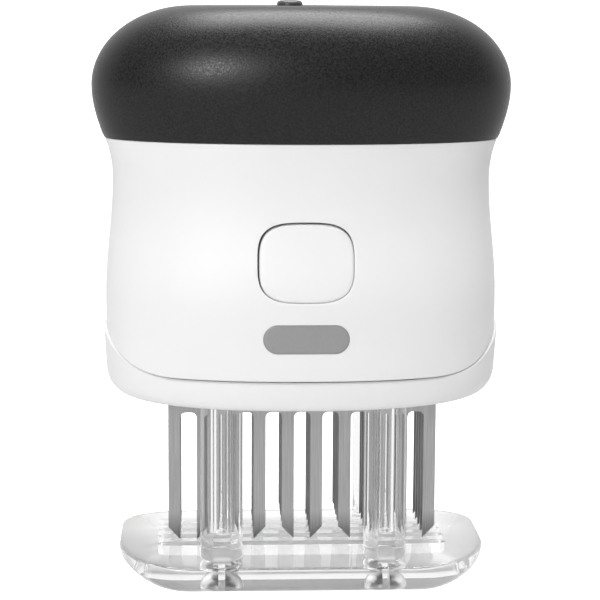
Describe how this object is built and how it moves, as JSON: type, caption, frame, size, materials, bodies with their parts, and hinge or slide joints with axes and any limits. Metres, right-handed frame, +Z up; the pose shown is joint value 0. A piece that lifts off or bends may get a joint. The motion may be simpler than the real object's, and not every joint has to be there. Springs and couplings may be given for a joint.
{
  "type": "blade meat tenderizer",
  "caption": "Hand press that pierces meat with combs of steel blades: soft T-shaped grip, white housing with a release button, and a clear sprung guard on posts.",
  "frame": {"origin": "centre of the guard's sole on the surface it stands on", "axes": "+Z up through the handle, +X along the handle's length to the user's right, +Y away from the user, so the release button faces -Y"},
  "size_m": [0.1078, 0.0624, 0.1475],
  "materials": {
    "soft_grip": "fine matt grain",
    "white_housing": "glossy moulded",
    "clear_guard": "clear, polished tool finish",
    "blade_steel": "fine lengthwise grain, ground tips",
    "inner_plastic": "plain moulded",
    "dark_knob": "satin moulded",
    "bumper_rubber": "plain",
    "fastener_steel": "bright turned and drawn",
    "spring_steel": "drawn wire"
  },
  "bodies": {
    "base": {"base_cup": "white_housing", "blade_carrier": "inner_plastic", "carrier_cap": "inner_plastic", "carrier_screws": "fastener_steel", "tie_bars": "fastener_steel", "blade_comb_1": "blade_steel", "blade_comb_2": "blade_steel", "blade_comb_3": "blade_steel", "blade_comb_4": "blade_steel", "blade_comb_5": "blade_steel", "bump_stops": "bumper_rubber", "return_springs": "spring_steel"},
    "guard": {"guard_foot": "clear_guard", "crosshead": "inner_plastic", "crosshead_screws": "fastener_steel"},
    "head": {"upper_shell": "white_housing", "grip_cover": "soft_grip", "handle_core": "inner_plastic", "spring_plate": "inner_plastic", "core_screws": "fastener_steel", "lock_detent": "fastener_steel", "button_brace": "inner_plastic", "button_spring": "spring_steel"},
    "lock": {"lock_bar": "inner_plastic", "lock_knob": "dark_knob"},
    "button": {"release_button": "white_housing", "latch_slide": "inner_plastic"}
  },
  "joints": [
    {"name": "guard_slide", "type": "slide", "parent": "base", "child": "guard", "axis": [0, 0, 1], "range_m": [0, 0.03], "stiffness_N_per_m": 400, "springref_m": -0.015, "deforming": ["return_springs"]},
    {"name": "head_lift", "type": "slide", "parent": "base", "child": "head", "axis": [0, 0, 1], "range_m": [0, 0.08]},
    {"name": "button_press", "type": "slide", "parent": "head", "child": "button", "axis": [0, 1, 0], "range_m": [0, 0.0025], "stiffness_N_per_m": 300, "springref_m": -0.004, "deforming": ["button_spring"]},
    {"name": "lock_slide", "type": "slide", "parent": "head", "child": "lock", "axis": [1, 0, 0], "range_m": [0, 0.0064]}
  ]
}
